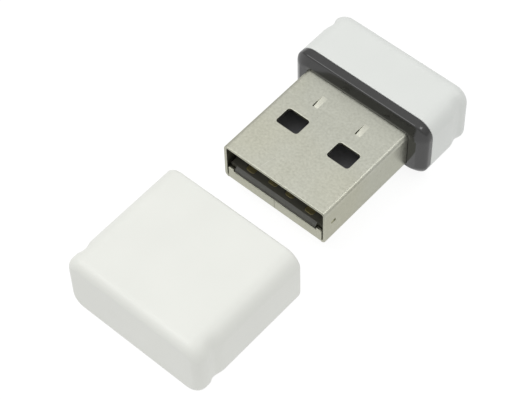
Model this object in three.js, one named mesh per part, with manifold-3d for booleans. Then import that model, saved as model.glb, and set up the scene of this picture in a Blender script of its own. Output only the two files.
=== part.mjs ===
// Nano USB Wi-Fi adapter with its pull-off cap, lying on a flat surface.
//
// Millimetres, +Z up, resting surface at Z = 0. The plug's axis runs along Y: the plug's mouth and
// the cap are towards -Y, the adapter's rear end is towards +Y. The cap is pulled off and lies on
// the plug's axis, and slides along +Y until its rim meets the collar.

import * as THREE from 'three';
import { mergeVertices } from 'three/addons/utils/BufferGeometryUtils.js';
import Module from 'manifold-3d';

// ---------------------------------------------------------------- driving dimensions (mm)

const BODY_W = 15.6; // width of the collar, rear housing and cap
const BODY_H = 7.0; // their height
const BODY_R = 1.7; // corner radius of their section
const AXIS_Z = BODY_H / 2; // height of the plug's axis

const PLUG_W = 12.0; // USB Type-A plug shell, outside
const PLUG_H = 4.5;
const PLUG_OUT = 11.6; // length of shell in front of the collar
const SHELL_TAIL = 3.4; // length of shell inside the rear housing
const SHEET_T = 0.3; // folded steel sheet
const SHELL_R = 0.5; // outside bend radius of the sheet

const COLLAR_LEN = 1.3; // visible ring between plug and rear housing
const COLLAR_BEVEL = 1.0; // bevel round the ring's front edge, as seen from the front
const COLLAR_BEVEL_RUN = 0.6; // its length along the axis
const SPIGOT_LEN = 1.6; // collar's tail, plugged into the rear housing
const REAR_LEN = 5.7; // rear housing
const SEAM = 0.05; // gap between faces that meet
const WALL = 1.2; // moulded wall

const CAP_LEN = 13.35;
const CAP_DEPTH = 12.1; // depth of the cap's cavity
const CAP_PLAY = 0.2; // play around the plug, each side
const CAP_GAP = 5.25; // cap's rim to plug's mouth, as it lies

const GRIP_DEPTH = 0.27; // finger groove down each side face
const GRIP_WIDTH = 1.7;
const REAR_GRIP = 1.65; // groove's middle from the rear end
const CAP_GRIP = 2.2; // groove's middle from the cap's closed end
const END_R = 1.15; // rounding of the rear end
const CAP_END_R = 1.0; // rounding of the cap's closed end
const RIM_R = 0.35; // rounding of the cap's rim

const BOARD_T = 0.65; // circuit board
const BOARD_TOP = -0.3; // its upper face, from the plug's axis
const BOARD_BOTTOM = BOARD_TOP - BOARD_T;
const FIT = 0.03; // gap between the board and what is mounted on it

// ---------------------------------------------------------------- solids

const wasm = await Module();
wasm.setup();

/** A closed three.js geometry as a manifold solid. */
function solid(geometry) {
  const plain = geometry.clone();
  plain.deleteAttribute('normal');
  plain.deleteAttribute('uv');
  const merged = mergeVertices(plain, 1e-5);
  return new wasm.Manifold(new wasm.Mesh({
    numProp: 3,
    vertProperties: new Float32Array(merged.attributes.position.array),
    triVerts: new Uint32Array(merged.index.array),
  }));
}

/** A manifold solid as a three.js geometry. */
function geometryOf(body) {
  const mesh = body.getMesh();
  const geometry = new THREE.BufferGeometry();
  geometry.setAttribute('position', new THREE.BufferAttribute(mesh.vertProperties, mesh.numProp));
  geometry.setIndex(new THREE.BufferAttribute(mesh.triVerts, 1));
  geometry.computeVertexNormals();
  return geometry;
}

const join = (...bodies) => bodies.reduce((sum, body) => sum.add(body));
const cut = (body, ...tools) => tools.reduce((rest, tool) => rest.subtract(tool), body);

/** Box from its lowest to its highest corner. */
function box([x0, y0, z0], [x1, y1, z1]) {
  const geometry = new THREE.BoxGeometry(x1 - x0, y1 - y0, z1 - z0);
  geometry.translate((x0 + x1) / 2, (y0 + y1) / 2, (z0 + z1) / 2);
  return solid(geometry);
}

/** Rounded rectangle, centred. */
function roundedRect(width, height, radius) {
  const x = width / 2;
  const y = height / 2;
  const shape = new THREE.Shape();
  shape.moveTo(x, y - radius);
  shape.absarc(x - radius, y - radius, radius, 0, Math.PI / 2, false);
  shape.absarc(radius - x, y - radius, radius, Math.PI / 2, Math.PI, false);
  shape.absarc(radius - x, radius - y, radius, Math.PI, 1.5 * Math.PI, false);
  shape.absarc(x - radius, radius - y, radius, 1.5 * Math.PI, 2 * Math.PI, false);
  return shape;
}

/**
 * Bar of rounded rectangular section along Y from y0 to y1, its axis on the plug's axis. The
 * section shrinks by inset over a length of run at both ends, as a quarter ellipse.
 */
function bar(width, height, radius, y0, y1, { inset = 0, run = inset, curve = 6, steps = 4 } = {}) {
  const geometry = new THREE.ExtrudeGeometry(roundedRect(width, height, radius), {
    depth: y1 - y0 - 2 * run,
    curveSegments: curve,
    bevelEnabled: inset > 0,
    bevelSize: inset,
    bevelThickness: run,
    bevelOffset: -inset,
    bevelSegments: steps,
  });
  geometry.rotateX(Math.PI / 2);
  geometry.translate(0, y1 - run, 0);
  return solid(geometry);
}

/** Keeps the part of a body between two planes across Y. */
function slice(body, y0, y1) {
  const half = BODY_W;
  return body.intersect(box([-half, y0, -half], [half, y1, half]));
}

/** Flat shape in XY, given as a point list, extruded from z0 to z1. */
function plate(points, z0, z1) {
  const shape = new THREE.Shape(points.map(([x, y]) => new THREE.Vector2(x, y)));
  const geometry = new THREE.ExtrudeGeometry(shape, { depth: z1 - z0, bevelEnabled: false });
  geometry.translate(0, 0, z0);
  return solid(geometry);
}

/** Rounded hole cutter through Z. */
function windowCutter(xMid, yMid, width, length, radius, z0, z1) {
  const geometry = new THREE.ExtrudeGeometry(roundedRect(width, length, radius), {
    depth: z1 - z0,
    bevelEnabled: false,
    curveSegments: 3,
  });
  geometry.translate(xMid, yMid, z0);
  return solid(geometry);
}

// ---------------------------------------------------------------- scene

const adapter = new THREE.Group();
adapter.position.set(0, (CAP_LEN + CAP_GAP - PLUG_OUT - COLLAR_LEN - SEAM - REAR_LEN) / 2, AXIS_Z);
const cap = new THREE.Group();
cap.position.copy(adapter.position).add(new THREE.Vector3(0, -CAP_GAP, 0));
const wifiAdapter = new THREE.Group();
wifiAdapter.add(adapter, cap);

const whitePlastic = { color: 0xe6e7e3, roughness: 0.35, metalness: 0 };
const blackPlastic = { color: 0x2a2a2a, roughness: 0.2, metalness: 0 };
const darkResin = { color: 0x1c1c1e, roughness: 0.5, metalness: 0 };
const plating = { color: 0xc2c2b2, roughness: 0.35, metalness: 0.9 };
const gold = { color: 0xc79a3f, roughness: 0.3, metalness: 1 };
const maskBlack = { color: 0x17181a, roughness: 0.45, metalness: 0 };
const ceramic = { color: 0xb7a888, roughness: 0.6, metalness: 0 };
const ferrite = { color: 0x3c3c40, roughness: 0.6, metalness: 0 };
const clearResin = { color: 0xd8e2d2, roughness: 0.2, metalness: 0 };

function part(group, name, body, look) {
  const mesh = new THREE.Mesh(geometryOf(body), new THREE.MeshStandardMaterial(look));
  mesh.name = name;
  group.add(mesh);
}

// ---------------------------------------------------------------- plug shell

// Everything in the adapter group is laid out from the middle of the plug's mouth.
const SHELL_END = PLUG_OUT + SHELL_TAIL;
const inX = PLUG_W / 2 - SHEET_T;
const inZ = PLUG_H / 2 - SHEET_T;

const WINDOW = { x: 3.0, y: 6.1, width: 2.5, length: 1.95, radius: 0.3 };
const DIMPLE = { x: 2.5, y0: 8.6, y1: 10.05, width: 0.6, depth: 0.12 };
const SIDE_MARK = { y0: 0.84, y1: 1.44, z0: 0.05, z1: 0.4, depth: 0.1 };
const FLAP = { half: 5.55, top: -0.98, hornIn: 4.9, hornTop: -0.72, depth: SHEET_T };
const BUTT_SEAM = 0.08; // the sheet's two edges, along the middle of the underside

function plugShell() {
  const outside = bar(PLUG_W, PLUG_H, SHELL_R, 0, SHELL_END, { inset: 0.06, curve: 4, steps: 1 });
  const inside = bar(2 * inX, 2 * inZ, SHELL_R - SHEET_T, -1, SHELL_END + 1, { curve: 3 });
  let shell = cut(outside, inside);

  const windowCuts = [];
  for (const side of [-1, 1]) {
    for (const [z0, z1] of [[1, PLUG_H], [-PLUG_H, -1]]) {
      windowCuts.push(windowCutter(side * WINDOW.x, WINDOW.y, WINDOW.width, WINDOW.length,
        WINDOW.radius, z0, z1));
    }
    const dent = DIMPLE.width / 2;
    windowCuts.push(box(
      [side * DIMPLE.x - dent, DIMPLE.y0, PLUG_H / 2 - DIMPLE.depth],
      [side * DIMPLE.x + dent, DIMPLE.y1, PLUG_H]));
    const deep = PLUG_W / 2 - SIDE_MARK.depth;
    windowCuts.push(box(
      [side > 0 ? deep : -PLUG_W, SIDE_MARK.y0, SIDE_MARK.z0],
      [side > 0 ? PLUG_W : -deep, SIDE_MARK.y1, SIDE_MARK.z1]));
  }
  shell = cut(shell, ...windowCuts);

  // The underside's front edge is folded up across the mouth, with a horn at each end.
  const low = -PLUG_H / 2 + SHEET_T / 2;
  const flap = join(
    box([-FLAP.half, 0, low], [FLAP.half, FLAP.depth, FLAP.top]),
    box([-FLAP.half, 0, low], [-FLAP.hornIn, FLAP.depth, FLAP.hornTop]),
    box([FLAP.hornIn, 0, low], [FLAP.half, FLAP.depth, FLAP.hornTop]),
  );
  const seam = box([-BUTT_SEAM / 2, -1, -PLUG_H], [BUTT_SEAM / 2, SHELL_END + 1, 0]);
  return cut(shell.add(flap), seam);
}

part(adapter, 'plug_shell', plugShell(), plating);

// ---------------------------------------------------------------- circuit board and its parts

const BOARD_FRONT = 0.06;
const BOARD_END = 17.1;
const TONGUE_HALF = 4.8; // between the flap's horns
const NECK_HALF = 5.5; // inside the shell
const HEAD_HALF = 6.2; // inside the rear housing
const HEAD_START = SHELL_END + 0.2;
const BOARD_BEVEL = 0.29; // lead-in along the tongue's upper front edge

function circuitBoard() {
  const notch = FLAP.depth + 0.1;
  const right = [
    [TONGUE_HALF, BOARD_FRONT], [TONGUE_HALF, notch], [NECK_HALF, notch], [NECK_HALF, HEAD_START],
    [HEAD_HALF, HEAD_START], [HEAD_HALF, BOARD_END],
  ];
  const left = right.map(([x, y]) => [-x, y]).reverse();
  const board = plate([...right, ...left], BOARD_BOTTOM, BOARD_TOP);
  const bevel = new THREE.BoxGeometry(4 * TONGUE_HALF, 2, 2);
  bevel.translate(0, 0, 1);
  bevel.rotateX(Math.PI / 4);
  bevel.translate(0, BOARD_FRONT + BOARD_BEVEL / 2, BOARD_TOP - BOARD_BEVEL / 2);
  return cut(board, slice(solid(bevel), -1, notch));
}

part(adapter, 'circuit_board', circuitBoard(), maskBlack);

const CONTACT = { width: 1.0, top: 0.06, end: 6.1, outerX: 3.5, innerX: 1.0, outerY: 0.6, innerY: 0.8 };

function contact(x, y0) {
  const z0 = BOARD_TOP + FIT / 3;
  const half = CONTACT.width / 2;
  return box([x - half, y0, z0], [x + half, CONTACT.end, z0 + CONTACT.top]);
}

part(adapter, 'contact_power', contact(CONTACT.outerX, CONTACT.outerY), gold);
part(adapter, 'contact_data_minus', contact(CONTACT.innerX, CONTACT.innerY), gold);
part(adapter, 'contact_data_plus', contact(-CONTACT.innerX, CONTACT.innerY), gold);
part(adapter, 'contact_ground', contact(-CONTACT.outerX, CONTACT.outerY), gold);

/** Component on the board: middle in XY, size [x, y, z], on its upper or lower face. */
function component(x, y, [sx, sy, sz], below = false) {
  const z0 = below ? BOARD_BOTTOM - FIT - sz : BOARD_TOP + FIT;
  return box([x - sx / 2, y - sy / 2, z0], [x + sx / 2, y + sy / 2, z0 + sz]);
}

const SIZE_0603 = [1.6, 0.8, 0.8];
const SIZE_0402 = [1.0, 0.5, 0.5];
const THIN_0402 = [1.0, 0.5, 0.35];

// Underside, in the holder's pocket.
part(adapter, 'wifi_chip', component(0, 6.6, [4.5, 6.5, 0.85], true), darkResin);
part(adapter, 'crystal', component(0, 12.1, [3.2, 2.5, 0.7], true), plating);
part(adapter, 'crystal_capacitor_left', component(-2.5, 12.1, SIZE_0402, true), ceramic);
part(adapter, 'crystal_capacitor_right', component(2.5, 12.1, SIZE_0402, true), ceramic);

// Upper face, behind the contacts.
part(adapter, 'power_inductor', component(-3.4, 12.4, [2.0, 1.6, 1.0]), ferrite);
part(adapter, 'input_capacitor', component(-0.9, 12.4, SIZE_0603), ceramic);
part(adapter, 'core_capacitor', component(1.5, 12.4, SIZE_0603), ceramic);
part(adapter, 'reference_resistor', component(3.9, 11.9, THIN_0402), darkResin);
part(adapter, 'led_resistor', component(3.9, 13.1, THIN_0402), darkResin);

// Upper face, in the rear housing.
part(adapter, 'activity_led', component(-4.6, 16.0, [1.6, 0.8, 0.6]), clearResin);
part(adapter, 'antenna_matching_capacitor', component(-1.6, 15.8, SIZE_0402), ceramic);
part(adapter, 'antenna_matching_inductor', component(-1.6, 16.5, SIZE_0402), ferrite);
part(adapter, 'chip_antenna', component(2.4, 16.1, [5.0, 1.6, 1.0]), ceramic);

// Frame under the board that holds it at its height, open around the underside's components.
const HOLDER = { front: 0.5, end: 14.8, side: 0.1, pocket: 3.4, pocketFront: 2.6, pocketEnd: 13.9 };
part(adapter, 'board_holder', cut(
  box([HOLDER.side - inX, HOLDER.front, -inZ + FIT], [inX - HOLDER.side, HOLDER.end, BOARD_BOTTOM - FIT]),
  box([-HOLDER.pocket, HOLDER.pocketFront, -PLUG_H], [HOLDER.pocket, HOLDER.pocketEnd, 0]),
), darkResin);

// ---------------------------------------------------------------- collar and rear housing

const COLLAR_END = PLUG_OUT + COLLAR_LEN;
const HOUSING_FRONT = COLLAR_END + SEAM;
const HOUSING_END = HOUSING_FRONT + REAR_LEN;
const HOLLOW_W = BODY_W - 2 * WALL;
const HOLLOW_H = BODY_H - 2 * WALL;
const HOLLOW_R = 0.7;
const SLEEVE = 0.1; // play around the shell in the collar

function collar() {
  const blank = bar(BODY_W, BODY_H, BODY_R, PLUG_OUT, COLLAR_END + 2,
    { inset: COLLAR_BEVEL, run: COLLAR_BEVEL_RUN, steps: 2 });
  const ring = slice(blank, PLUG_OUT - 1, COLLAR_END);
  const spigot = bar(HOLLOW_W - 2 * SEAM, HOLLOW_H - 2 * SEAM, HOLLOW_R,
    COLLAR_END - 0.5, COLLAR_END + SPIGOT_LEN, { curve: 3 });
  const bore = bar(PLUG_W + 2 * SLEEVE, PLUG_H + 2 * SLEEVE, SHELL_R, 0, SHELL_END + 5, { curve: 3 });
  return cut(join(ring, spigot), bore);
}

part(adapter, 'collar', collar(), blackPlastic);

/** Cuts the finger groove, a shallow arc, down both side faces at gripY. */
function withGrips(body, gripY) {
  const radius = (GRIP_WIDTH ** 2 / 4 + GRIP_DEPTH ** 2) / (2 * GRIP_DEPTH);
  const offset = BODY_W / 2 - GRIP_DEPTH + radius;
  const cutters = [-1, 1].map((side) => {
    const geometry = new THREE.CylinderGeometry(radius, radius, 2 * BODY_H, 48);
    geometry.rotateX(Math.PI / 2);
    geometry.translate(side * offset, gripY, 0);
    return solid(geometry);
  });
  return cut(body, ...cutters);
}

function rearHousing() {
  const block = bar(BODY_W, BODY_H, BODY_R, COLLAR_END - 3, HOUSING_END, { inset: END_R, curve: 8 });
  const outside = withGrips(slice(block, HOUSING_FRONT, HOUSING_END + 1), HOUSING_END - REAR_GRIP);
  const hollow = bar(HOLLOW_W, HOLLOW_H, HOLLOW_R, HOUSING_FRONT - 1, HOUSING_END - WALL, { curve: 3 });
  return cut(outside, hollow);
}

part(adapter, 'rear_housing', rearHousing(), whitePlastic);

// ---------------------------------------------------------------- cap

// Laid out from the middle of the cap's rim; its closed end is towards -Y.
function pullOffCap() {
  const closed = bar(BODY_W, BODY_H, BODY_R, -CAP_LEN, 3, { inset: CAP_END_R, curve: 8 });
  const open = bar(BODY_W, BODY_H, BODY_R, -CAP_LEN - 3, 0, { inset: RIM_R, curve: 8, steps: 2 });
  const outside = withGrips(closed.intersect(open), CAP_GRIP - CAP_LEN);
  const cavity = bar(PLUG_W + 2 * CAP_PLAY, PLUG_H + 2 * CAP_PLAY, SHELL_R, -CAP_DEPTH, 1, { curve: 3 });
  return cut(outside, cavity);
}

part(cap, 'cap', pullOffCap(), whitePlastic);

export default wifiAdapter;
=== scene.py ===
"""Nano USB Wi-Fi adapter with its pull-off cap: the visual model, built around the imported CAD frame.

Shapes are laid out in millimetres in local frames that share the row's axes. Each starts from the
middle of a face: the plug's mouth, the cap's rim, or the front of the collar or the rear housing.
"""

import math

import bmesh
import bpy
from mathutils import Matrix, Vector


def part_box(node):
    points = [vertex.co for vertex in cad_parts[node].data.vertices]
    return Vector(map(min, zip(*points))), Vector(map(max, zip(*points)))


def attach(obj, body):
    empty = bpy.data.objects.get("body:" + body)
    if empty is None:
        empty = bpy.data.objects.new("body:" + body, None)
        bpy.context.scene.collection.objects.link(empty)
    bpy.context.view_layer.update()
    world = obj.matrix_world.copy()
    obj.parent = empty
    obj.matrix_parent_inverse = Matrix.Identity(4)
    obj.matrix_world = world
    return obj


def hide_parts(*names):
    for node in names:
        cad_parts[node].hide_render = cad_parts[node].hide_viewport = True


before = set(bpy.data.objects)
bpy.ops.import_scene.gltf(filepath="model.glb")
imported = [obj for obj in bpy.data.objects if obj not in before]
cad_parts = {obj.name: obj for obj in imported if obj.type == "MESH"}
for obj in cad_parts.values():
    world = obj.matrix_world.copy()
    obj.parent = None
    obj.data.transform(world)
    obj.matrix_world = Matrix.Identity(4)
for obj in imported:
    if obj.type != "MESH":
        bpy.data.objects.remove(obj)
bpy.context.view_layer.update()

MM = 0.001

# ---------------------------------------------------------------- sizes from the frame (mm)


def size_of(node):
    """A CAD node's width, length and height in millimetres."""
    low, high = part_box(node)
    return (high - low) / MM


def face_middle(node, side):
    """Middle of a node's front (side 0) or rear (side 1) face, in metres."""
    low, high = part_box(node)
    return Vector(((low.x + high.x) / 2, (low.y, high.y)[side], (low.z + high.z) / 2))


MOUTH = face_middle("plug_shell", 0)
CAP_RIM = face_middle("cap", 1)

PLUG_W, SHELL_END, PLUG_H = size_of("plug_shell")
BODY_W, CAP_LEN, BODY_H = size_of("cap")
PLUG_OUT = (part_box("collar")[0].y - MOUTH.y) / MM  # from the mouth to the collar's front
COLLAR_TAIL = size_of("collar").y  # from the collar's front to the end of its tail
HOUSING_FRONT = (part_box("rear_housing")[0].y - MOUTH.y) / MM
REAR_LEN = size_of("rear_housing").y

# ---------------------------------------------------------------- shape details (mm)

ARC = 12  # segments round a quarter circle
WALL = 1.2  # of the rear housing
SEAM = 0.05  # gap between the collar and the rear housing
SHEET_T = 0.3  # folded steel sheet
CAP_PLAY = 0.2  # between the plug and the cap, each side
BORE_PLAY = 0.03  # between the plug and the collar, each side

# Sections across the axis: width, height and corner radius.
BODY = (BODY_W, BODY_H, 1.7)
PLUG = (PLUG_W, PLUG_H, 0.5)
CAVITY = (PLUG_W + 2 * CAP_PLAY, PLUG_H + 2 * CAP_PLAY, 0.6)
HOLLOW = (BODY_W - 2 * WALL, BODY_H - 2 * WALL, 0.7)

CAP_DEPTH = 12.1  # of its cavity
CAP_END_R = 0.95
CAP_RIM_R = 0.35
HOUSING_END_R = 1.1
HOUSING_RIM_R = 0.06
LEAD_R = 0.15  # rounding of a cavity's mouth
CAVITY_END = ((0, 0.2), (0.06, 0.06), (0.2, 0))  # and of its closed end, as (run, inset) pairs

# Bevel round the collar's front: its width seen from the front, length along the axis, and bulge.
COLLAR_SIDE = Vector((0.9, 0.85, 0.8))
COLLAR_TOP = Vector((1.0, 0.42, 0.0))
COLLAR_UNDER = Vector((1.1, 0.85, 0.0))
# Its stations: the share of its length, and the distance beyond that.
BEVEL = ((0, 0), (0.04, 0), (0.15, 0), (0.3, 0), (0.45, 0), (0.6, 0), (0.75, 0), (0.88, 0),
         (0.95, 0.01), (0.985, 0.04), (1, 0.09))
COLLAR_REAR_R = 0.05
BORE_LEAD_R = 0.02

GRIP_DEPTH = 0.27
GRIP_TO_END = 0.75  # groove's deepest line to its edge nearest the closed end
GRIP_TO_OPEN = 1.15  # and to its edge nearest the open end
CAP_GRIP = 2.1  # the deepest line from the closed end
REAR_GRIP = 1.6

# Places on the plug, from the middle of its mouth: x across it, y along it and z up.
WINDOW = {"x": 3.0, "y": 6.1, "width": 2.5, "length": 1.95, "radius": 0.3}
DIMPLE = {"x": 2.5, "y0": 8.6, "y1": 10.15, "width": 0.6, "depth": 0.2, "slit": 0.05, "slit_y1": 9.3}
SIDE_MARK = {"y0": 0.84, "y1": 1.44, "z0": 0.05, "z1": 0.4, "depth": 0.1}
FLAP = {"half": 5.55, "top": -0.98, "horn_in": 4.9, "horn_top": -0.72, "bend": 0.18, "tail": 0.5}
BUTT_SEAM = 0.035
SCRATCH = {"start": (-1.85, 0.4), "end": (-1.5, 1.96), "width": 0.05}
CUT_FROM = 1  # height from the plug's middle, so that a cut in one face misses the other
BEYOND = 1  # how far a cutter reaches past what it cuts

BOARD = {"front": 0.06, "notch": 0.4, "bevel": 0.29, "tongue": 4.8, "neck": 5.5, "head_start": 15.2}
CONTACT_R = 0.3
HOLDER_POCKET = {"half": 3.4, "y0": 2.6, "y1": 13.9}
PIN_MARK = {"from_corner": 0.7, "size": 0.5, "radius": 0.249, "depth": 0.05}
EDGE_R = {"sheet": 0.07, "flap": 0.06, "board": 0.02, "contact": 0.02, "holder": 0.08, "chip": 0.08,
          "crystal": 0.04, "component": 0.04, "light": 0.03}

# ---------------------------------------------------------------- mesh tools

CORNERS = ((1, 1), (-1, 1), (-1, -1), (1, -1))
TURNS = [math.pi / 2 * (corner + step / ARC) for corner in range(4) for step in range(ARC + 1)]


def grown(section, amount):
    """A section with every side moved out."""
    width, height, radius = section
    return width + 2 * amount, height + 2 * amount, radius + amount


def rounded_section(width, height, radius, y, dent=0.0):
    """Points round a rounded rectangle across the plug's axis, at y. dent pushes the sides in."""
    points = []
    for i, turn in enumerate(TURNS):
        sx, sz = CORNERS[i // (ARC + 1)]
        nx, nz = math.cos(turn), math.sin(turn)
        x = sx * (width / 2 - radius) + radius * nx
        z = sz * (height / 2 - radius) + radius * nz
        points.append(Vector((x - math.copysign(dent * nx * nx, nx), y, z)))
    return points


def rounded_outline(x, y, width, length, radius, steps=6):
    """Rounded rectangle round (x, y), as a list of flat points."""
    points = []
    for corner, (sx, sy) in enumerate(CORNERS):
        for step in range(steps + 1):
            angle = math.pi / 2 * (corner + step / steps)
            points.append((x + sx * (width / 2 - radius) + radius * math.cos(angle),
                           y + sy * (length / 2 - radius) + radius * math.sin(angle)))
    return points


def quarter(radius, steps):
    """(run, inset) pairs of a quarter-round edge, from its end face to its full section."""
    pairs = []
    for step in range(steps + 1):
        angle = math.pi / 2 * step / steps
        pairs.append((radius * (1 - math.cos(angle)), radius * (1 - math.sin(angle))))
    return pairs


def loft(rings, closed=False):
    """Bmesh through rings of points. It closes on itself, or has a flat face at each end."""
    bm = bmesh.new()
    layers = [[bm.verts.new(point) for point in ring] for ring in rings]
    pairs = list(zip(layers, layers[1:]))
    if closed:
        pairs.append((layers[-1], layers[0]))
    else:
        bm.faces.new(layers[0])
        bm.faces.new(layers[-1])
    count = len(layers[0])
    for one, two in pairs:
        for i in range(count):
            j = (i + 1) % count
            bm.faces.new((one[i], one[j], two[j], two[i]))
    bmesh.ops.recalc_face_normals(bm, faces=bm.faces)
    return bm


PLANES = {
    "X": lambda a, b, depth: (depth, a, b),
    "Z": lambda a, b, depth: (a, b, depth),
}


def prism(outline, axis, low, high):
    """Bmesh of a flat outline extruded along an axis."""
    place = PLANES[axis]
    return loft([[Vector(place(a, b, depth)) for a, b in outline] for depth in (low, high)])


def block(low, high):
    """Bmesh of a box from its lowest to its highest corner."""
    (x0, y0, z0), (x1, y1, z1) = low, high
    return prism([(x0, y0), (x1, y0), (x1, y1), (x0, y1)], "Z", z0, z1)


def as_object(bm, name):
    """Object made from a bmesh, which is freed."""
    mesh = bpy.data.meshes.new(name)
    bm.to_mesh(mesh)
    bm.free()
    made = bpy.data.objects.new(name, mesh)
    bpy.context.scene.collection.objects.link(made)
    return made


def as_shape(piece):
    """An object's mesh as a bmesh. The object is removed."""
    bm = bmesh.new()
    bm.from_mesh(piece.data)
    bpy.data.objects.remove(piece)
    return bm


def apply_modifiers(piece):
    """Replaces the piece's mesh by what its modifiers make of it."""
    depsgraph = bpy.context.evaluated_depsgraph_get()
    mesh = bpy.data.meshes.new_from_object(piece.evaluated_get(depsgraph))
    piece.modifiers.clear()
    piece.data = mesh
    mesh.name = piece.name


def combine(piece, shapes, operation="DIFFERENCE"):
    """Cuts bmesh shapes out of a piece, or joins them to it."""
    tools = [as_object(shape, "tool") for shape in shapes]
    for tool in tools:
        modifier = piece.modifiers.new("combine", "BOOLEAN")
        modifier.operation = operation
        modifier.solver = "EXACT"
        modifier.object = tool
    apply_modifiers(piece)
    for tool in tools:
        bpy.data.objects.remove(tool)


def soften(piece, width, clamp=True):
    """Rounds the piece's sharp edges by a width in millimetres."""
    modifier = piece.modifiers.new("soften", "BEVEL")
    modifier.width = width
    modifier.segments = 3
    modifier.limit_method = "ANGLE"
    modifier.angle_limit = math.radians(40)
    modifier.use_clamp_overlap = clamp
    apply_modifiers(piece)


def settle(piece, origin, materials, body, slot, *nodes):
    """Moves a piece from its local frame to the row frame, shades it, and fixes it to its body."""
    mesh = piece.data
    mesh.transform(Matrix.Translation(origin) @ Matrix.Scale(MM, 4))
    mesh.shade_smooth()
    mesh.set_sharp_from_angle(angle=math.radians(45))
    shading = piece.modifiers.new("shading", "WEIGHTED_NORMAL")
    shading.keep_sharp = True
    for material in materials:
        mesh.materials.append(material)
    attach(piece, body)
    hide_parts(*nodes)


# ---------------------------------------------------------------- materials


class Recipe:
    """A node material under construction."""

    def __init__(self, name):
        self.material = bpy.data.materials.new(name)
        self.material.use_nodes = True
        self.nodes = self.material.node_tree.nodes
        self.shader = self.nodes["Principled BSDF"]
        self.place = self.nodes.new("ShaderNodeTexCoord").outputs["Object"]

    def link(self, source, target):
        self.material.node_tree.links.new(source, target)

    def set(self, **values):
        """Sets the shader's inputs, named with _ for a space."""
        for name, value in values.items():
            self.shader.inputs[name.replace("_", " ")].default_value = value
        return self

    def noise(self, scale, detail=3.0, stretch=(1, 1, 1), roughness=0.5):
        """Noise in object space. scale is in cells per metre."""
        mapping = self.nodes.new("ShaderNodeMapping")
        mapping.inputs["Scale"].default_value = stretch
        self.link(self.place, mapping.inputs["Vector"])
        noise = self.nodes.new("ShaderNodeTexNoise")
        noise.inputs["Scale"].default_value = scale
        noise.inputs["Detail"].default_value = detail
        noise.inputs["Roughness"].default_value = roughness
        self.link(mapping.outputs["Vector"], noise.inputs["Vector"])
        return noise.outputs["Fac"]

    def axes(self):
        """The place on the object as outputs X, Y and Z, in metres."""
        parts = self.nodes.new("ShaderNodeSeparateXYZ")
        self.link(self.place, parts.inputs["Vector"])
        return parts.outputs

    def math(self, operation, a, b=0.0, c=0.0):
        """Math node's output, from numbers or other nodes' outputs."""
        node = self.nodes.new("ShaderNodeMath")
        node.operation = operation
        for socket, value in zip(node.inputs, (a, b, c)):
            if isinstance(value, (int, float)):
                socket.default_value = value
            else:
                self.link(value, socket)
        return node.outputs[0]

    def blend(self, a, b, share):
        """Sum of two values, the given share of a and the rest of b."""
        return self.math("ADD", self.math("MULTIPLY", a, share), self.math("MULTIPLY", b, 1 - share))

    def spread(self, value, low, high, start=0.3, end=0.7):
        """Maps a value from start..end to low..high."""
        node = self.nodes.new("ShaderNodeMapRange")
        for name, number in (("From Min", start), ("From Max", end), ("To Min", low), ("To Max", high)):
            node.inputs[name].default_value = number
        self.link(value, node.inputs["Value"])
        return node.outputs["Result"]

    def tint(self, factor, dark, light):
        """Colour between dark and light, each a colour or another node's output."""
        node = self.nodes.new("ShaderNodeMix")
        node.data_type = "RGBA"
        for name, colour in (("A", dark), ("B", light)):
            if isinstance(colour, tuple):
                node.inputs[name].default_value = (*colour, 1)
            else:
                self.link(colour, node.inputs[name])
        self.link(factor, node.inputs["Factor"])
        return node.outputs["Result"]

    def colour(self, source):
        self.link(source, self.shader.inputs["Base Color"])

    def rough(self, source):
        self.link(source, self.shader.inputs["Roughness"])

    def bump(self, height, depth):
        """Surface relief. depth is in millimetres."""
        node = self.nodes.new("ShaderNodeBump")
        node.inputs["Distance"].default_value = depth * MM
        node.inputs["Strength"].default_value = 1.0
        self.link(height, node.inputs["Height"])
        self.link(node.outputs["Normal"], self.shader.inputs["Normal"])


def shade(colour, factor):
    return tuple(channel * factor for channel in colour)


def grained(name, colour, contrast, scale, rough, relief, **values):
    """Plain moulded, printed or fired surface: colour and gloss vary with a fine grain."""
    recipe = Recipe(name).set(**values)
    grain = recipe.noise(scale)
    broad = recipe.noise(scale / 25, detail=2)
    mix = recipe.spread(recipe.blend(grain, broad, 0.5), 0, 1)
    recipe.colour(recipe.tint(mix, shade(colour, 1 - contrast), shade(colour, 1 + contrast)))
    recipe.rough(recipe.spread(grain, *rough))
    recipe.bump(grain, relief)
    return recipe.material


def white_plastic(name, colour):
    """Satin white shell: fine mould grain, faint flow clouds and a few rubbed patches."""
    recipe = Recipe(name).set(IOR=1.46)
    cloud = recipe.noise(160, detail=2)
    grain = recipe.noise(9000, detail=2)
    recipe.colour(recipe.tint(recipe.spread(cloud, 0, 1), shade(colour, 0.985), shade(colour, 1.015)))
    rubbed = recipe.noise(420, detail=5, roughness=0.6)
    recipe.rough(recipe.spread(rubbed, 0.3, 0.42))
    recipe.bump(grain, 0.0012)
    return recipe.material


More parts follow.
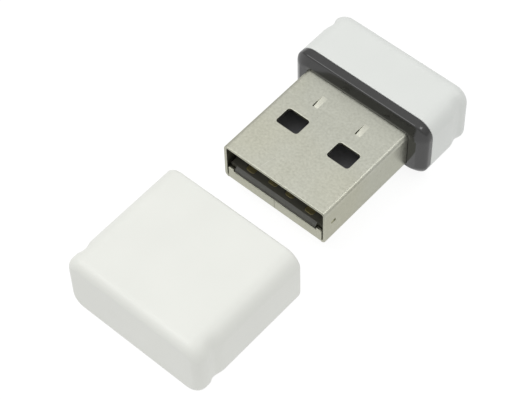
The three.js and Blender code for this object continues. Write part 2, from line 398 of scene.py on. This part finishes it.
def scratch(recipe):
    """1 along the one light scratch on the shell's upper face, 0 elsewhere."""
    start = MOUTH + Vector((*SCRATCH["start"], PLUG_H)) * MM
    end = MOUTH + Vector((*SCRATCH["end"], PLUG_H)) * MM
    length = (end - start).xy.length
    along = (end - start).xy / length
    place = recipe.axes()
    x = recipe.math("SUBTRACT", place["X"], start.x)
    y = recipe.math("SUBTRACT", place["Y"], start.y)
    across = recipe.math("SUBTRACT", recipe.math("MULTIPLY", x, along.y),
                         recipe.math("MULTIPLY", y, along.x))
    travel = recipe.math("ADD", recipe.math("MULTIPLY", x, along.x),
                         recipe.math("MULTIPLY", y, along.y))
    line = recipe.spread(recipe.math("ABSOLUTE", across), 1, 0, 0, SCRATCH["width"] * MM)
    ends = recipe.math("COMPARE", travel, length / 2, length / 2)
    upper = recipe.math("GREATER_THAN", place["Z"], MOUTH.z)
    return recipe.math("MULTIPLY", line, recipe.math("MULTIPLY", ends, upper))


def plated_steel():
    """Nickel-plated sheet: fine isotropic grain, cloudy warm and grey plating, faint rub marks."""
    recipe = Recipe("plated_steel").set(Metallic=1.0, Specular_Tint=(0.7, 0.7, 0.66, 1))
    cloud = recipe.noise(350, detail=3)
    grain = recipe.noise(4200, detail=3, roughness=0.6)
    shine = recipe.spread(recipe.blend(grain, cloud, 0.8), 0, 1)
    warm = recipe.tint(shine, (0.51, 0.51, 0.415), (0.64, 0.635, 0.535))
    grey = recipe.tint(shine, (0.50, 0.505, 0.43), (0.625, 0.63, 0.55))
    patch = recipe.noise(90, detail=2)
    plating = recipe.tint(recipe.spread(patch, 0, 1, 0.4, 0.6), warm, grey)
    mark = scratch(recipe)
    recipe.colour(recipe.tint(recipe.math("MULTIPLY", mark, 0.5), plating, (0.78, 0.77, 0.7)))
    rub = recipe.noise(900, detail=4, stretch=(1, 0.12, 1))
    recipe.rough(recipe.math("ADD", recipe.spread(grain, 0.30, 0.42), recipe.spread(rub, -0.03, 0.03)))
    recipe.bump(recipe.math("SUBTRACT", grain, mark), 0.006)
    return recipe.material


def gloss_black():
    """Polished black ring with hairline handling marks."""
    recipe = Recipe("black_gloss_plastic").set(IOR=1.77)
    dust = recipe.noise(2500, detail=5, roughness=0.7)
    recipe.colour(recipe.tint(recipe.spread(dust, 0, 1), (0.007, 0.007, 0.0065), (0.014, 0.014, 0.013)))
    hairline = recipe.noise(1500, detail=2, stretch=(0.15, 1, 0.15))
    recipe.rough(recipe.spread(hairline, 0.12, 0.2))
    recipe.bump(dust, 0.0006)
    return recipe.material


def solder_mask():
    """Dark board lacquer with a painted light gradient: warm and darker near the mouth, lighter and
    greyer further in, where it stands in for light through the windows.
    """
    recipe = Recipe("black_solder_mask")
    grain = recipe.noise(4000)
    # Painted light: from 2 to 5 mm in, the lacquer turns lighter and greyer to stand in for light
    # through the windows.
    depth = recipe.spread(recipe.axes()["Y"], 0, 1, MOUTH.y + 2 * MM, MOUTH.y + 5 * MM)
    base = recipe.tint(depth, (0.075, 0.073, 0.058), (0.18, 0.18, 0.19))
    recipe.colour(recipe.tint(recipe.spread(grain, 0, 0.12), base, (0.01, 0.01, 0.01)))
    recipe.rough(recipe.spread(grain, 0.34, 0.46))
    recipe.bump(grain, 0.002)
    return recipe.material


# Colour, its contrast, grain in cells per metre, least and most roughness, relief in millimetres.
PLAIN = {
    "black_holder_plastic": ((0.02, 0.02, 0.021), 0.2, 5000, (0.4, 0.55), 0.003),
    "black_resin": ((0.025, 0.025, 0.027), 0.25, 8000, (0.45, 0.6), 0.003),
    "capacitor_ceramic": ((0.36, 0.25, 0.15), 0.12, 8000, (0.4, 0.55), 0.002),
    "antenna_ceramic": ((0.7, 0.68, 0.62), 0.05, 7000, (0.4, 0.5), 0.002),
    "ferrite": ((0.045, 0.045, 0.05), 0.2, 6000, (0.5, 0.65), 0.004),
    "clear_resin": ((0.7, 0.74, 0.6), 0.05, 3000, (0.1, 0.2), 0.001),
    "board_cut_edge": ((0.05, 0.049, 0.033), 0.25, 6000, (0.5, 0.65), 0.006),
    # The bevel finish is a lighter grey than the lacquer: a painted highlight on the tongue's front
    # bevel.
    "board_bevel_highlight": ((0.13, 0.13, 0.118), 0.15, 6000, (0.4, 0.5), 0.004),
}
METAL = {
    "pressed_steel": ((0.6, 0.6, 0.52), 0.14, 4000, (0.42, 0.55), 0.012),
    # The gold is darkened towards olive: painted shade of the contacts deep in the mouth.
    "gold_plating": ((0.46, 0.4, 0.2), 0.1, 5000, (0.4, 0.5), 0.001),
    "crystal_can": ((0.62, 0.6, 0.55), 0.08, 5000, (0.25, 0.38), 0.001),
    "tinned_ends": ((0.6, 0.6, 0.58), 0.08, 5000, (0.3, 0.42), 0.002),
}
FINISHES = {name: grained(name, *look) for name, look in PLAIN.items()}
FINISHES.update({name: grained(name, *look, Metallic=1.0) for name, look in METAL.items()})
FINISHES["black_solder_mask"] = solder_mask()
CAP_WHITE = white_plastic("cap_white_plastic", (0.835, 0.845, 0.795))
HOUSING_WHITE = white_plastic("housing_white_plastic", (0.765, 0.785, 0.757))

# ---------------------------------------------------------------- white bodies


def grip(from_end, middle):
    """Depth of the finger groove at a distance from the closed end."""
    offset = from_end - middle
    reach = GRIP_TO_END if offset < 0 else GRIP_TO_OPEN
    return GRIP_DEPTH * max(0.0, 1 - (offset / reach) ** 2) ** 2


def cup(length, rim_r, end_r, cavity, depth, grip_middle, towards):
    """Open moulded shell from its rim at y = 0, its closed end in the direction towards (+1 or -1)."""
    rings = []

    def inner(run, flare):
        rings.append(rounded_section(*grown(cavity, flare), towards * run))

    def outer(run, inset):
        dent = grip(length - run, grip_middle)
        rings.append(rounded_section(*grown(BODY, -inset), towards * run, dent))

    for run, inset in CAVITY_END:
        inner(depth - run, -inset)
    for run, flare in reversed(quarter(LEAD_R, 3)):
        inner(run, flare)
    for run, inset in quarter(rim_r, 5):
        outer(run, inset)
    start, end = rim_r, length - end_r
    count = 48  # enough rings for a smooth groove
    for i in range(1, count):
        outer(start + (end - start) * i / count, 0)
    for run, inset in reversed(quarter(end_r, 10)):
        outer(length - run, inset)
    return loft(rings)


def pull_off_cap():
    shape = cup(CAP_LEN, CAP_RIM_R, CAP_END_R, CAVITY, CAP_DEPTH, CAP_GRIP, -1)
    return as_object(shape, "cap_shell")


def rear_housing():
    shape = cup(REAR_LEN, HOUSING_RIM_R, HOUSING_END_R, HOLLOW, REAR_LEN - WALL, REAR_GRIP, 1)
    return as_object(shape, "housing_shell")


settle(pull_off_cap(), CAP_RIM, [CAP_WHITE], "cap", "white_plastic", "cap")
settle(rear_housing(), MOUTH + Vector((0, HOUSING_FRONT * MM, 0)), [HOUSING_WHITE],
       "adapter", "white_plastic", "rear_housing")

# ---------------------------------------------------------------- collar


def bevel_ring(along, beyond):
    """Ring of the collar's bevel: along runs from 0 at its front to 1, and beyond goes past it."""
    ring = rounded_section(*BODY, beyond)
    for point, turn in zip(ring, TURNS):
        nx, nz = math.cos(turn), math.sin(turn)
        upright = COLLAR_TOP if nz > 0 else COLLAR_UNDER
        width, length, bulge = COLLAR_SIDE * nx * nx + upright * nz * nz
        inset = width * (1 - along) * (1 - bulge * along)
        point += Vector((-nx * inset, along * length, -nz * inset))
    return ring


def collar_ring():
    """Ring round the plug, bevelled in front, with a tail plugged into the housing."""
    back = HOUSING_FRONT - SEAM - PLUG_OUT
    width, height, radius = HOLLOW
    tail = (width - 2 * SEAM, height - 2 * SEAM, radius)
    bore = grown(PLUG, BORE_PLAY)
    rings = [bevel_ring(along, beyond) for along, beyond in BEVEL]
    for run, inset in reversed(quarter(COLLAR_REAR_R, 2)):
        rings.append(rounded_section(*grown(BODY, -inset), back - run))
    rings.append(rounded_section(*tail, back))
    rings.append(rounded_section(*tail, COLLAR_TAIL))
    rings.append(rounded_section(*bore, COLLAR_TAIL))
    for run, flare in reversed(quarter(BORE_LEAD_R, 2)):
        rings.append(rounded_section(*grown(bore, flare), run))
    return as_object(loft(rings, closed=True), "collar_ring")


settle(collar_ring(), MOUTH + Vector((0, PLUG_OUT * MM, 0)), [gloss_black()],
       "adapter", "black_gloss_plastic", "collar")

# ---------------------------------------------------------------- plug shell

PLUG_TOP = PLUG_H / 2
PLUG_BOTTOM = -PLUG_H / 2


def shell_tube():
    """Plain rectangular tube of sheet, open at both ends."""
    inner = grown(PLUG, -SHEET_T)
    rings = [rounded_section(*inner, SHELL_END), rounded_section(*inner, 0),
             rounded_section(*PLUG, 0), rounded_section(*PLUG, SHELL_END)]
    return as_object(loft(rings, closed=True), "steel_shell")


def folded_flap():
    """The underside's front edge, folded up across the mouth, with a horn at each end."""
    tail, horn_top = FLAP["tail"], FLAP["horn_top"]
    inside_floor = PLUG_BOTTOM + SHEET_T
    bend = [(inset, PLUG_BOTTOM + run) for run, inset in quarter(FLAP["bend"], 4)]
    outline = [(tail, PLUG_BOTTOM), *bend, (0, horn_top), (SHEET_T, horn_top),
               (SHEET_T, inside_floor), (tail, inside_floor)]
    flap = as_object(prism(outline, "X", -FLAP["half"], FLAP["half"]), "flap")
    combine(flap, [block((-FLAP["horn_in"], -BEYOND, FLAP["top"]), (FLAP["horn_in"], BEYOND, 0))])
    soften(flap, EDGE_R["flap"])
    return as_shape(flap)


def window_cutters(side):
    """Rounded holes through the upper and the lower face."""
    outline = rounded_outline(side * WINDOW["x"], WINDOW["y"], WINDOW["width"], WINDOW["length"],
                              WINDOW["radius"])
    return [prism(outline, "Z", CUT_FROM, PLUG_H), prism(outline, "Z", -PLUG_H, -CUT_FROM)]


def side_mark_cutter(side):
    """Shallow mark in the outside of a side wall."""
    wall, depth = side * PLUG_W / 2, SIDE_MARK["depth"]
    return block((wall - depth, SIDE_MARK["y0"], SIDE_MARK["z0"]),
                 (wall + depth, SIDE_MARK["y1"], SIDE_MARK["z1"]))


def dimple_cutters(side):
    """Ramp pressed into the upper face, deepest towards the mouth, and the slit along its left edge."""
    left, right = (side * DIMPLE["x"] + sign * DIMPLE["width"] / 2 for sign in (-1, 1))
    y0, above = DIMPLE["y0"], PLUG_TOP + 0.01
    ramp = [(y0, above), (y0, PLUG_TOP - DIMPLE["depth"]), (DIMPLE["y1"], above)]
    half = DIMPLE["slit"] / 2
    slit = block((left - half, y0, CUT_FROM), (left + half, DIMPLE["slit_y1"], PLUG_H))
    return [prism(ramp, "X", left, right), slit]


def plug_shell():
    """Folded steel tube with its windows, flap, pressed dimples, side marks and butt seam."""
    shell = shell_tube()
    half = BUTT_SEAM / 2
    windows = []
    marks = [block((-half, -BEYOND, -PLUG_H), (half, SHELL_END + BEYOND, 0))]
    for side in (-1, 1):
        windows += window_cutters(side)
        marks += [side_mark_cutter(side), *dimple_cutters(side)]
    combine(shell, windows)
    soften(shell, EDGE_R["sheet"], clamp=False)
    # The flap takes the place of the underside's front edge.
    above_sheet = PLUG_BOTTOM + SHEET_T + 0.1
    combine(shell, [block((-FLAP["half"], -BEYOND, PLUG_BOTTOM - BEYOND),
                          (FLAP["half"], FLAP["bend"], above_sheet))])
    combine(shell, [folded_flap()], "UNION")
    combine(shell, marks)
    deepest, shallowest = PLUG_TOP - DIMPLE["depth"], PLUG_TOP - 0.02
    for face in shell.data.polygons:
        sunk = deepest < face.center.z < shallowest
        face.material_index = int(sunk and face.normal.z > 0.9)
    return shell


settle(plug_shell(), MOUTH, [plated_steel(), FINISHES["pressed_steel"]],
       "adapter", "plated_steel", "plug_shell")

# ---------------------------------------------------------------- inside pieces


def local_box(node):
    """A node's lowest and highest corners in the plug's frame, in millimetres."""
    low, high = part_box(node)
    return (low - MOUTH) / MM, (high - MOUTH) / MM


def board_finish(face):
    """Index of the finish on one of the board's faces: flat 0, cut edge 1, bevel 2."""
    upright = 1 - abs(face.normal.z)
    if upright > 0.7:
        return 1
    return 2 if upright > 0.1 else 0


def circuit_board():
    """Board with a bevelled tongue in the mouth, and a wider head in the rear housing."""
    low, high = local_box("circuit_board")
    front, notch, lead = BOARD["front"], BOARD["notch"], BOARD["bevel"]
    tongue_end = notch + 0.2  # inside the neck
    neck_end = high.y - 0.5  # inside the head
    profile = [(front, low.z), (tongue_end, low.z), (tongue_end, high.z), (front + lead, high.z),
               (front, high.z - lead)]
    board = as_object(prism(profile, "X", -BOARD["tongue"], BOARD["tongue"]), "board")
    neck = block((-BOARD["neck"], notch, low.z), (BOARD["neck"], neck_end, high.z))
    head = block((low.x, BOARD["head_start"], low.z), (high.x, high.y, high.z))
    combine(board, [neck, head], "UNION")
    for face in board.data.polygons:
        face.material_index = board_finish(face)
    soften(board, EDGE_R["board"])
    return board


def contact(node):
    """Thin gold pad with rounded corners."""
    low, high = local_box(node)
    middle = (low + high) / 2
    outline = rounded_outline(middle.x, middle.y, high.x - low.x, high.y - low.y, CONTACT_R)
    pad = as_object(prism(outline, "Z", low.z, high.z), node + "_pad")
    soften(pad, EDGE_R["contact"])
    return pad


def board_holder():
    """Frame round an open pocket."""
    low, high = local_box("board_holder")
    holder = as_object(block(low, high), "holder_frame")
    pocket = HOLDER_POCKET
    combine(holder, [block((-pocket["half"], pocket["y0"], low.z - BEYOND),
                           (pocket["half"], pocket["y1"], high.z + BEYOND))])
    soften(holder, EDGE_R["holder"])
    return holder


def terminated(node):
    """Chip component: fired body between two tinned end caps that stand slightly proud."""
    low, high = local_box(node)
    middle = (low + high) / 2
    half = (high.x - low.x) / 2
    cap_len = 0.44 * half
    proud = 0.02
    edge_r = EDGE_R["component"]

    def ring(along, inset):
        outline = rounded_outline(middle.y, middle.z, high.y - low.y - 2 * inset,
                                  high.z - low.z - 2 * inset, edge_r)
        return [Vector((middle.x + along, y, z)) for y, z in outline]

    stations = [(run - half, inset) for run, inset in quarter(edge_r, 3)]
    stations += [(cap_len - half, 0), (cap_len - half, proud)]
    rings = [ring(along, inset) for along, inset in stations]
    rings += [ring(-along, inset) for along, inset in reversed(stations)]
    body = as_object(loft(rings), node + "_body")
    tinned_from = half - 1.01 * cap_len  # takes in the cap's inner step
    for face in body.data.polygons:
        face.material_index = int(abs(face.center.x - middle.x) > tinned_from)
    return body


def moulded_chip():
    """Flat package with bevelled edges and a round pin mark on its outer face."""
    low, high = local_box("wifi_chip")
    chip = as_object(block(low, high), "chip_package")
    soften(chip, EDGE_R["chip"])
    mark = rounded_outline(low.x + PIN_MARK["from_corner"], low.y + PIN_MARK["from_corner"],
                           PIN_MARK["size"], PIN_MARK["size"], PIN_MARK["radius"])
    combine(chip, [prism(mark, "Z", low.z - BEYOND, low.z + PIN_MARK["depth"])])
    return chip


def crystal_can():
    """Ceramic base with a seam-welded metal lid in two steps on its outer face."""
    low, high = local_box("crystal")
    step = 0.15
    can = as_object(block((low.x, low.y, low.z + 2 * step), high), "crystal_package")
    lid = []
    for inset, start in ((step, low.z + step), (2 * step, low.z)):
        lid.append(block((low.x + inset, low.y + inset, start),
                         (high.x - inset, high.y - inset, high.z)))
    combine(can, lid, "UNION")
    soften(can, EDGE_R["crystal"])
    return can


def status_light():
    """Clear block with a domed top between two tinned ends."""
    low, high = local_box("activity_led")
    middle = (low + high) / 2
    width, length, height = high - low
    base = height / 2
    end_w, side_gap, least_r = 0.3, 0.08, 0.02
    dome_w, dome_len, dome_r = width - 2 * end_w, length - 2 * side_gap, 0.9 * (height - base)

    def ring(z, ring_w, ring_len, radius):
        outline = rounded_outline(middle.x, middle.y, ring_w, ring_len, radius)
        return [Vector((x, y, low.z + z)) for x, y in outline]

    rings = [ring(z, width, length, EDGE_R["light"]) for z in (0, base)]
    rings.append(ring(base, dome_w, dome_len, dome_r))
    for run, inset in reversed(quarter(dome_r, 5)):
        rings.append(ring(height - run, dome_w - 2 * inset, dome_len - 2 * inset,
                          dome_r - inset + least_r))
    light = as_object(loft(rings), "status_light")
    tinned_from = dome_w / 2 + 0.1
    for face in light.data.polygons:
        face.material_index = int(abs(face.center.x - middle.x) > tinned_from)
    return light


def inside(piece, slot, node, *others):
    """Puts a piece of the board's assembly in place. others names its further finishes."""
    materials = [FINISHES[name] for name in (slot, *others)]
    settle(piece, MOUTH, materials, "adapter", slot, node)


inside(circuit_board(), "black_solder_mask", "circuit_board", "board_cut_edge", "board_bevel_highlight")
inside(board_holder(), "black_holder_plastic", "board_holder")
for name in ("contact_power", "contact_data_minus", "contact_data_plus", "contact_ground"):
    inside(contact(name), "gold_plating", name)
inside(moulded_chip(), "black_resin", "wifi_chip")
inside(crystal_can(), "crystal_can", "crystal")
inside(status_light(), "clear_resin", "activity_led", "tinned_ends")
TERMINATED = {
    "capacitor_ceramic": ["crystal_capacitor_left", "crystal_capacitor_right", "input_capacitor",
                          "core_capacitor", "antenna_matching_capacitor"],
    "ferrite": ["power_inductor", "antenna_matching_inductor"],
    "black_resin": ["reference_resistor", "led_resistor"],
    "antenna_ceramic": ["chip_antenna"],
}
for slot, names in TERMINATED.items():
    for name in names:
        inside(terminated(name), slot, name, "tinned_ends")

# ---------------------------------------------------------------- floor, light and camera

FLOOR_RADIUS = 3.0  # metres
FLOOR_DROP = 0.02  # millimetres below what lies on it


def studio_floor():
    """Pale floor that glows evenly by itself. It doesn't light the object or show in it."""
    bm = bmesh.new()
    bmesh.ops.create_circle(bm, cap_ends=True, segments=64, radius=FLOOR_RADIUS)
    floor = as_object(bm, "floor")
    floor.location.z = -FLOOR_DROP * MM
    recipe = Recipe("floor").set(Roughness=0.6, Emission_Color=(1, 1, 1, 1), Emission_Strength=0.89)
    tone = recipe.noise(40, detail=2)
    recipe.colour(recipe.tint(recipe.spread(tone, 0, 1), (0.14, 0.14, 0.14), (0.15, 0.15, 0.15)))
    floor.data.materials.append(recipe.material)
    floor.visible_diffuse = False
    floor.visible_glossy = False


# Brightness of the studio round the object, from straight down (0) to straight up (1).
SKY = ((0.0, 0.86), (0.45, 0.86), (0.52, 0.5), (1.0, 0.9))


def studio_sky():
    """Pale dome, brighter overhead, above a pale table."""
    world = bpy.data.worlds.new("studio")
    world.use_nodes = True
    nodes, links = world.node_tree.nodes, world.node_tree.links
    place = nodes.new("ShaderNodeTexCoord")
    parts = nodes.new("ShaderNodeSeparateXYZ")
    links.new(place.outputs["Generated"], parts.inputs["Vector"])
    height_share = nodes.new("ShaderNodeMapRange")
    height_share.inputs["From Min"].default_value = -1.0
    links.new(parts.outputs["Z"], height_share.inputs["Value"])
    ramp = nodes.new("ShaderNodeFloatCurve")
    curve = ramp.mapping.curves[0]
    curve.points[0].location = SKY[0]
    curve.points[1].location = SKY[-1]
    for height, level in SKY[1:-1]:
        curve.points.new(height, level)
    for point in curve.points:
        point.handle_type = "VECTOR"
    ramp.mapping.update()
    links.new(height_share.outputs["Result"], ramp.inputs["Value"])
    links.new(ramp.outputs["Value"], nodes["Background"].inputs["Strength"])
    nodes["Background"].inputs["Color"].default_value = (1, 1, 1, 1)
    bpy.context.scene.world = world


def softbox(name, direction, distance, size, radiance):
    """Square area light of a given radiance, facing the object. distance and size are in metres."""
    data = bpy.data.lights.new(name, "AREA")
    data.size = size
    data.energy = radiance * math.pi * size * size
    light = bpy.data.objects.new(name, data)
    light.location = Vector(direction).normalized() * distance
    light.rotation_euler = Vector(direction).to_track_quat("Z", "Y").to_euler()
    bpy.context.scene.collection.objects.link(light)


# Angles in degrees, the rest in millimetres. The camera is aimed to the left of the mouth's middle
# and below it, as seen in the view.
CAMERA = {"lens": 129.1585, "sensor": 36.0, "azimuth": 42.671, "elevation": 54.775, "roll": -1.802,
          "left": 0.809, "below": 0.501, "distance": 170.737}


def photo_camera():
    """Camera that looks down on the plug's mouth from the front right."""
    azimuth, elevation, roll = (math.radians(CAMERA[k]) for k in ("azimuth", "elevation", "roll"))
    level = math.cos(elevation)
    back = Vector((math.sin(azimuth) * level, -math.cos(azimuth) * level, math.sin(elevation)))
    right = Vector((math.cos(azimuth), math.sin(azimuth), 0))
    up = back.cross(right)
    across = math.cos(roll) * right + math.sin(roll) * up
    upward = math.cos(roll) * up - math.sin(roll) * right
    place = CAMERA["distance"] * back - CAMERA["left"] * across - CAMERA["below"] * upward
    data = bpy.data.cameras.new("camera")
    data.sensor_width = CAMERA["sensor"]
    data.lens = CAMERA["lens"]
    data.clip_start = 0.001
    camera = bpy.data.objects.new("camera", data)
    turn = Matrix((across, upward, back)).transposed().to_4x4()
    camera.matrix_world = Matrix.Translation(MOUTH + place * MM) @ turn
    bpy.context.scene.collection.objects.link(camera)
    bpy.context.scene.camera = camera


studio_floor()
studio_sky()
softbox("key", (-0.42, -0.15, 0.89), distance=0.4, size=0.3, radiance=1.5)
softbox("edge", (0.45, 0.42, 0.79), distance=0.4, size=0.08, radiance=3.0)
photo_camera()
bpy.context.scene.view_settings.view_transform = "Standard"
